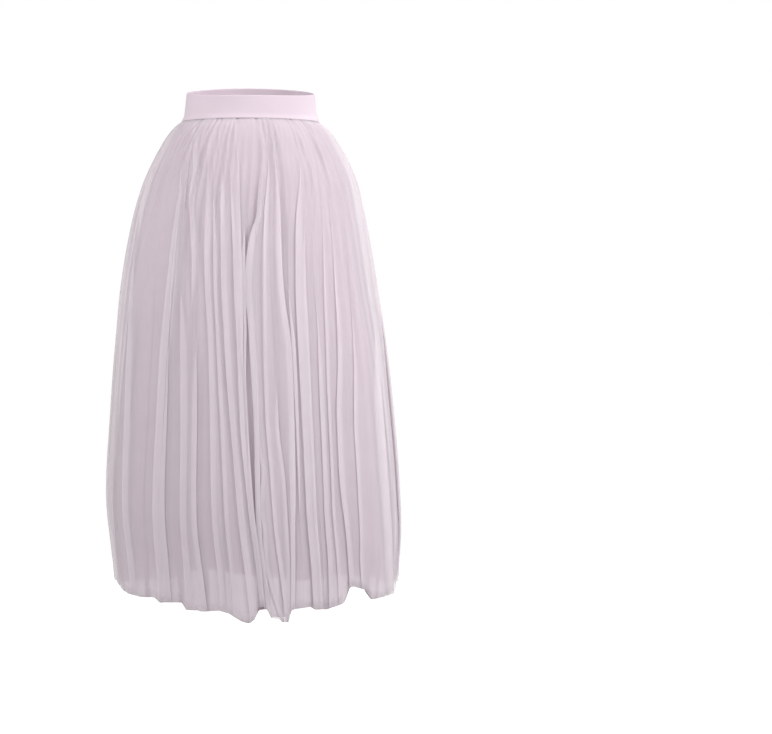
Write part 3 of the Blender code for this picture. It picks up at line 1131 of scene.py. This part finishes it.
@dataclass
class TulleSkirt:
    """The whole skirt: its bell, tulle widths, lining, waistband and stitches."""

    form: BellForm = field(default_factory=BellForm.from_frame)
    outer: NetTulle = NetTulle("outer_tulle_net", "#EFE6EC", "#E4D8E0", 0.35)
    under: NetTulle = NetTulle("under_tulle_net", "#D0B6C6", "#C0A4B5", 0.58)
    lining: WovenLining = WovenLining("lining_weave", "#D9BACE", "#CDACC1")
    band: StretchJersey = StretchJersey("band_jersey", "#D5C6D0", "#CDBEC8")
    thread: PlainFinish = PlainFinish("sewing_thread", "#DFC3D5", 0.6)

    outer_front_hem: Stations = (
        (-90.0, -0.037), (-80.0, -0.034), (-72.0, -0.030), (-62.0, -0.018), (-53.0, -0.016),
        (-44.0, -0.018), (-42.0, -0.010), (-30.0, -0.013), (-28.6, 0.000), (-23.5, 0.000), (-22.5, 0.0025),
        (-14.5, 0.000), (-11.0, 0.005), (-8.0, 0.012), (-5.5, 0.0175), (-3.3, 0.0205), (-1.7, 0.018),
        (-0.3, 0.009), (0.3, -0.006), (2.8, -0.008), (3.8, -0.003), (5.2, 0.013), (8.6, 0.0155),
        (9.6, 0.021), (12.0, 0.0215), (13.3, 0.000), (16.0, -0.0025), (21.2, -0.005), (22.9, 0.0005),
        (28.0, 0.001), (35.8, -0.0077), (38.8, -0.034), (41.0, -0.036), (47.3, -0.028), (51.7, -0.0085),
        (65.2, -0.0093), (78.0, -0.010), (84.0, -0.019), (90.0, -0.037),
    )
    outer_back_hem: Stations = (
        (90.0, -0.037), (98.0, -0.020), (110.0, -0.006), (118.0, -0.010), (131.0, -0.013), (146.0, 0.003),
        (158.0, -0.006), (167.0, 0.004), (176.0, 0.008), (188.0, -0.002), (203.0, -0.010), (219.0, 0.004),
        (234.0, -0.006), (250.0, -0.013), (262.0, -0.022), (270.0, -0.037),
    )
    under_front_hem: Stations = (
        (-90.0, -0.024), (-66.0, -0.016), (-55.6, -0.014), (-46.0, -0.016), (-42.8, -0.008),
        (-31.3, -0.011), (-29.4, 0.002), (-24.0, 0.002), (-22.6, 0.004), (-15.5, 0.001), (-11.5, 0.006),
        (-8.5, 0.014), (-6.0, 0.020), (-3.5, 0.0235), (-1.8, 0.021), (-0.3, 0.012), (0.4, 0.000),
        (4.0, -0.002), (5.5, 0.011), (9.0, 0.013), (12.4, 0.013), (13.8, 0.000), (21.9, -0.003),
        (23.6, 0.002), (29.0, 0.003), (37.3, -0.006), (40.4, -0.032), (42.7, -0.034), (49.5, -0.026),
        (54.3, -0.006), (69.8, -0.007), (90.0, -0.010),
    )
    under_back_hem: Stations = (
        (90.0, -0.010), (100.0, -0.014), (118.0, -0.012), (146.0, -0.002), (162.0, -0.008), (176.0, 0.002),
        (203.0, -0.012), (219.0, -0.001), (250.0, -0.016), (270.0, -0.024),
    )
    lining_front_hem: Stations = (
        (-90.0, -0.012), (-35.0, -0.016), (0.0, 0.004), (20.0, 0.014), (60.0, 0.004), (90.0, -0.010),
    )
    lining_back_hem: Stations = ((90.0, -0.010), (180.0, 0.004), (270.0, -0.012))
    front_pinches: tuple[float, ...] = (
        -50.5, -44.0, -35.5, -28.0, -24.0, -18.0, -11.0, -6.0, -2.0, 4.5, 17.0, 30.0, 34.5, 45.0, 61.0,
    )
    back_pinches: tuple[float, ...] = (
        104.0, 117.0, 123.0, 136.0, 144.0, 151.0, 163.0, 170.0, 176.0, 187.0, 195.0, 208.0, 214.0, 227.0,
        239.0, 252.0,
    )
    # Flat width and length of one cut width of tulle or lining, and of the band's strip as it shows
    outer_cut: tuple[float, float] = (1.25, 0.90)
    under_cut: tuple[float, float] = (1.02, 0.89)
    lining_cut: tuple[float, float] = (0.66, 0.83)
    band_cut: tuple[float, float] = (0.68, 0.047)
    # Degrees at each side seam where the lining's hem has no stitches
    seam_margin: float = 1.0

    def widths(self) -> list[tuple[TulleWidth, NetTulle, str, str]]:
        """The four tulle widths with their finish, the node that each replaces and their material slot."""
        form = self.form
        outer_behind = scattered_pleats(90.0, count=21, overlap=0.015, depth=0.006, seed=5)
        under_ahead = scattered_pleats(-90.0, count=17, overlap=0.013, depth=0.0045, seed=23)
        under_behind = scattered_pleats(90.0, count=15, overlap=0.013, depth=0.0045, seed=31)
        outer_front = PleatedPanel(form, front_pleats(), side=-90.0, columns=620, rows=79, seed=11)
        outer_back = PleatedPanel(form, outer_behind, side=90.0, columns=560, rows=78, seed=12)
        under_front = PleatedPanel(form, under_ahead, side=-90.0, columns=430, rows=70, seed=13)
        under_back = PleatedPanel(form, under_behind, side=90.0, columns=400, rows=66, seed=14)
        close = Ripples(seed=41, puckers=44.0, pucker_height=0.0018, flutes=17.0, flute_height=0.0009)
        loose = Ripples(seed=42, puckers=36.0, pucker_height=0.0015, flutes=15.0, flute_height=0.0009)
        # How far each layer hangs inside the bell, down its length
        deep = ((0.0, 0.0030), (0.012, 0.0070), (0.03, 0.0110), (0.06, 0.0140), (0.36, 0.0185),
                (0.65, 0.0160), (1.0, 0.0090))
        level = ((0.0, 0.0), (1.0, 0.0))
        return [
            (TulleWidth("tulle_outer_front", outer_front, close, level, self.outer_front_hem, self.outer_cut,
                        Pinches(self.front_pinches)), self.outer, "outer_tulle_front", "outer_tulle"),
            (TulleWidth("tulle_outer_back", outer_back, loose, level, self.outer_back_hem, self.outer_cut,
                        Pinches(self.back_pinches)), self.outer, "outer_tulle_back", "outer_tulle"),
            (TulleWidth("tulle_under_front", under_front, loose, deep, self.under_front_hem, self.under_cut),
             self.under, "under_tulle_front", "under_tulle"),
            (TulleWidth("tulle_under_back", under_back, close, deep, self.under_back_hem, self.under_cut),
             self.under, "under_tulle_back", "under_tulle"),
        ]

    def build(self) -> None:
        """Build and declare every piece of the skirt."""
        tulle = {}
        for width, finish, node, slot in self.widths():
            if finish.name not in tulle:
                tulle[finish.name] = finish.material()
            piece = width.build(tulle[finish.name])
            self.declare(piece, node)
        lining_finish = self.lining.material()
        thread = self.thread.material()
        for name, side, seed, hem in (("lining_panel_front", -90.0, 7, self.lining_front_hem),
                                      ("lining_panel_back", 90.0, 8, self.lining_back_hem)):
            panel = Lining(name, self.form, side, seed, hem)
            piece = panel.build(lining_finish)
            self.declare(piece, name.replace("_panel", ""))
            self.sew_hem(panel, thread)
        piece = Waistband(self.form).build(self.band.material())
        self.declare(piece, "waistband")

    def sew_hem(self, panel: Lining, thread: bpy.types.Material) -> None:
        """Sew a lining panel's turned-up hem with one row of stitches.

        Args:
            panel: The lining's front or back.
            thread: The sewing thread.
        """
        angles = np.linspace(panel.side + self.seam_margin, panel.side + 180.0 - self.seam_margin, 260)
        share = panel.length_share - panel.turn_up / self.form.length
        path = panel.surface(np.array([share]), angles)[0]
        row = StitchRow(panel.name + "_hem_stitches").build(path, thread)
        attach(row, BODY)
        LOG.info("%s: %d faces", row.name, len(row.data.polygons))

    def declare(self, piece: bpy.types.Object, node: str) -> None:
        """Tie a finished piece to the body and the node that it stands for.

        Args:
            piece: The piece.
            node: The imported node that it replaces.
        """
        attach(piece, BODY)
        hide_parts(node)
        LOG.info("%s: %d faces before its wall", piece.name, len(piece.data.polygons))


def main() -> None:
    """Build the studio and the skirt."""
    logging.basicConfig(level=logging.INFO, format="%(message)s")
    SkirtStudio().build()
    TulleSkirt().build()


if __name__ == "__main__":
    main()
